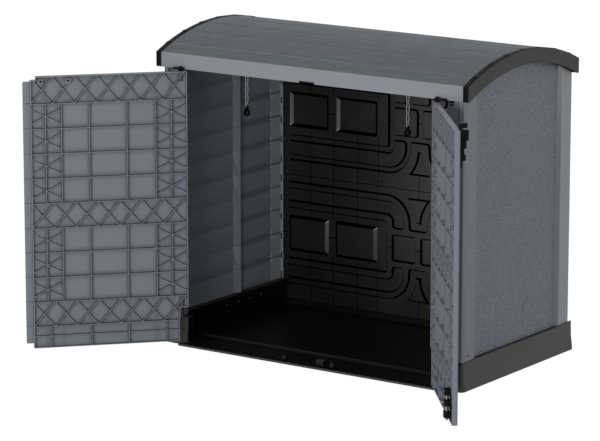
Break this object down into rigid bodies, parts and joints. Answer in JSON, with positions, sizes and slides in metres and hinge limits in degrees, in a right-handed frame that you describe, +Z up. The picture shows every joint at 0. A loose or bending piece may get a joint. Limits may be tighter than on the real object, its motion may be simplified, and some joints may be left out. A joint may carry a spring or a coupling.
{
  "type": "garden storage box",
  "caption": "Outdoor storage box with an arched hinged lid, plank side walls, embossed back and ribbed double doors on pin hinges, standing open.",
  "frame": {"origin": "on the ground at the middle of the base's length and depth", "axes": "+X to the right seen from the front, +Y to the back, +Z up"},
  "size_m": [2.0117, 1.3087, 1.2635],
  "materials": {
    "wall_grey": "fine moulded grain",
    "lid_grey": "fine moulded grain",
    "door_grey": "fine moulded grain",
    "trim_grey": "matt moulded",
    "black_plastic": "matt moulded",
    "black_hardware": "smooth moulded",
    "zinc_steel": "zinc plated"
  },
  "bodies": {
    "carcass": {"floor_tray": "black_plastic", "skirt_left": "trim_grey", "skirt_right": "trim_grey", "floor_screws": "zinc_steel", "door_stops": "black_plastic", "bolt_keeper": "black_plastic", "side_wall_left": "wall_grey", "side_wall_right": "wall_grey", "wall_screws": "black_hardware", "back_panel_lower": "black_plastic", "back_panel_upper": "black_plastic", "rear_rail": "black_plastic", "lid_hinge_leaves": "black_hardware", "leaf_screws": "zinc_steel", "lid_hinge_rods": "zinc_steel", "top_bracket_left": "black_hardware", "top_bracket_right": "black_hardware", "low_bracket_left": "black_hardware", "low_bracket_right": "black_hardware", "bracket_screws": "zinc_steel", "door_pins_left": "zinc_steel", "door_pins_right": "zinc_steel"},
    "lid": {"lid_shell": "lid_grey", "lid_cap_left": "trim_grey", "lid_cap_right": "trim_grey", "lid_strike": "black_hardware", "chain_staples": "zinc_steel"},
    "left_chain": {"chain_left": "zinc_steel", "snap_hook_left": "black_hardware"},
    "right_chain": {"chain_right": "zinc_steel", "snap_hook_right": "black_hardware"},
    "left_door": {"door_left": "door_grey", "catch_plate": "black_hardware", "catch_screws": "zinc_steel"},
    "right_door": {"door_right": "door_grey", "latch_base": "black_hardware", "latch_screws": "zinc_steel", "bolt_housing": "black_hardware", "bolt_screws": "zinc_steel"},
    "latch": {"latch_lever": "black_hardware"},
    "bolt": {"slide_bolt": "zinc_steel"}
  },
  "joints": [
    {"name": "lid_hinge", "type": "hinge", "parent": "carcass", "child": "lid", "pos_m": [0, 0.406, 1.108], "axis": [-1, 0, 0], "range_deg": [0, 80]},
    {"name": "left_door_hinge", "type": "hinge", "parent": "carcass", "child": "left_door", "pos_m": [-0.596, -0.431, 0.6], "axis": [0, 0, 1], "range_deg": [-37, 133]},
    {"name": "right_door_hinge", "type": "hinge", "parent": "carcass", "child": "right_door", "pos_m": [0.596, -0.431, 0.6], "axis": [0, 0, -1], "range_deg": [-40, 130]},
    {"name": "latch_turn", "type": "hinge", "parent": "right_door", "child": "latch", "pos_m": [0.96196, -0.83602, 1.053], "axis": [0.766, 0.6428, 0], "range_deg": [0, 75]},
    {"name": "bolt_slide", "type": "slide", "parent": "right_door", "child": "bolt", "axis": [0, 0, -1], "range_m": [0, 0.02]},
    {"name": "left_chain_swing", "type": "hinge", "parent": "lid", "child": "left_chain", "pos_m": [-0.376, -0.29, 1.1899], "axis": [-1, 0, 0], "range_deg": [-80, 0]},
    {"name": "right_chain_swing", "type": "hinge", "parent": "lid", "child": "right_chain", "pos_m": [0.376, -0.29, 1.1899], "axis": [-1, 0, 0], "range_deg": [-80, 0]}
  ],
  "couplings": [
    {"joint": "left_chain_swing", "follows": "lid_hinge", "ratio": -1},
    {"joint": "right_chain_swing", "follows": "lid_hinge", "ratio": -1}
  ]
}
